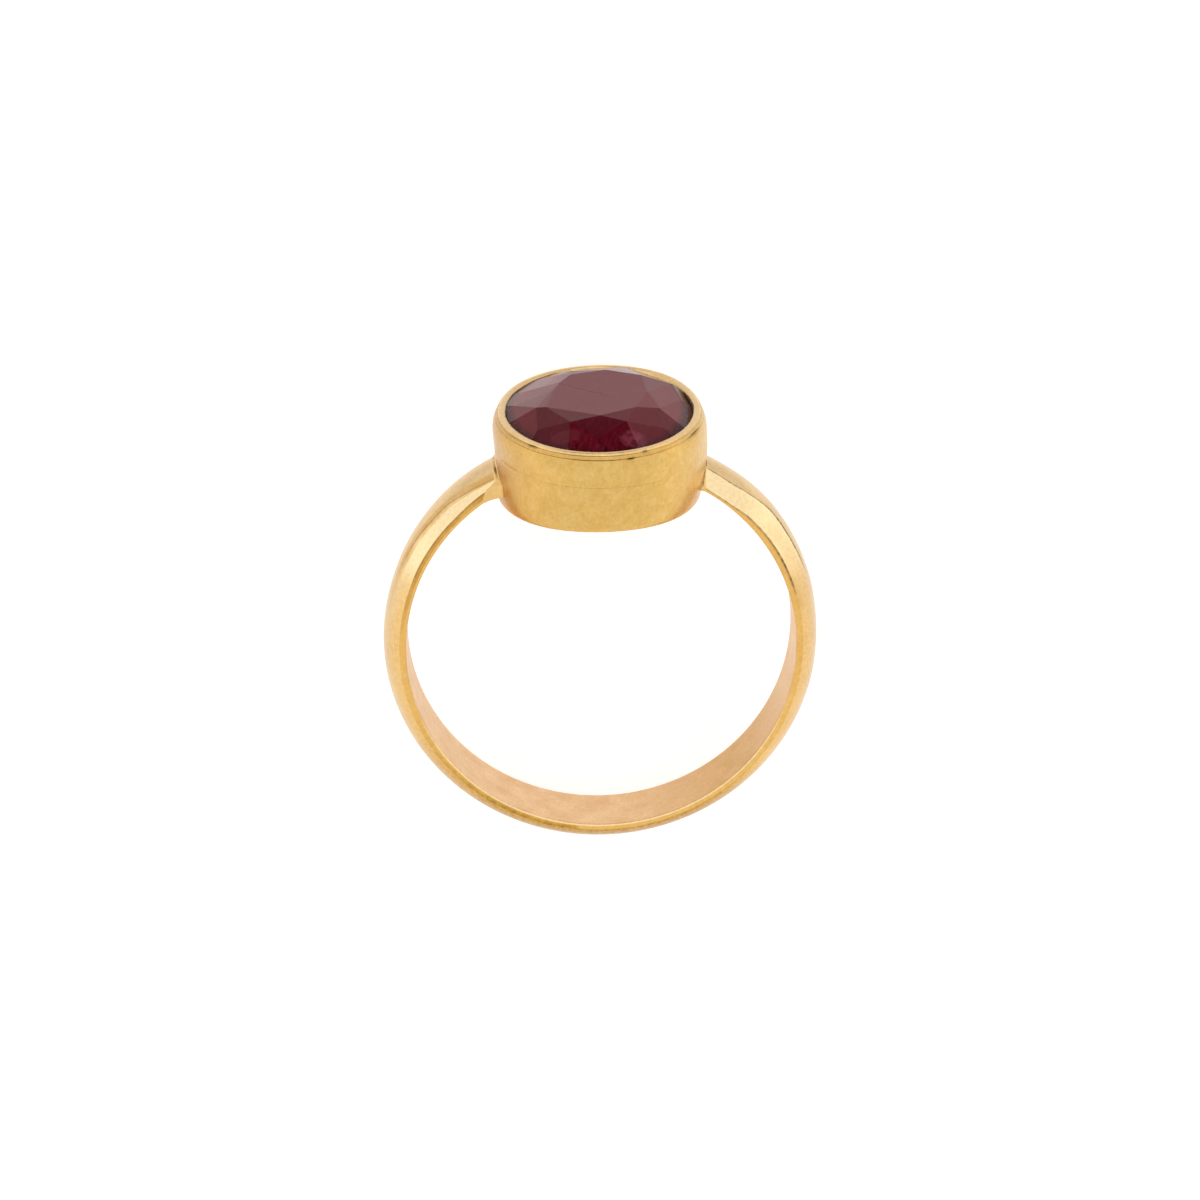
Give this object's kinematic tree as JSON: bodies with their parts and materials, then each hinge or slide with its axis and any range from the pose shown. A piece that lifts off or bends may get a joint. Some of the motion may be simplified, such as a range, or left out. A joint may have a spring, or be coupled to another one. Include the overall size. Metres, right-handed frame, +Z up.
{
  "type": "ruby ring",
  "caption": "Gold finger ring with a domed band, shoulders filed to two bevels each and an oval faceted ruby in a closed bezel with a rubbed-over rim, lying on its side.",
  "frame": {"origin": "on the surface that the ring lies on, under the middle of its box", "axes": "+Z up from the surface, +Y from the bottom of the band towards the stone, +X across the finger hole; the finger hole's axis leans 13.5 degrees from +Z towards -Y"},
  "size_m": [0.0192, 0.021, 0.0117],
  "materials": {
    "gold": "polished, softly worn yellow gold",
    "ruby": "polished facets, cloudy dark red stone"
  },
  "bodies": {
    "root": {"gold_setting": "gold", "ruby": "ruby"}
  },
  "joints": []
}
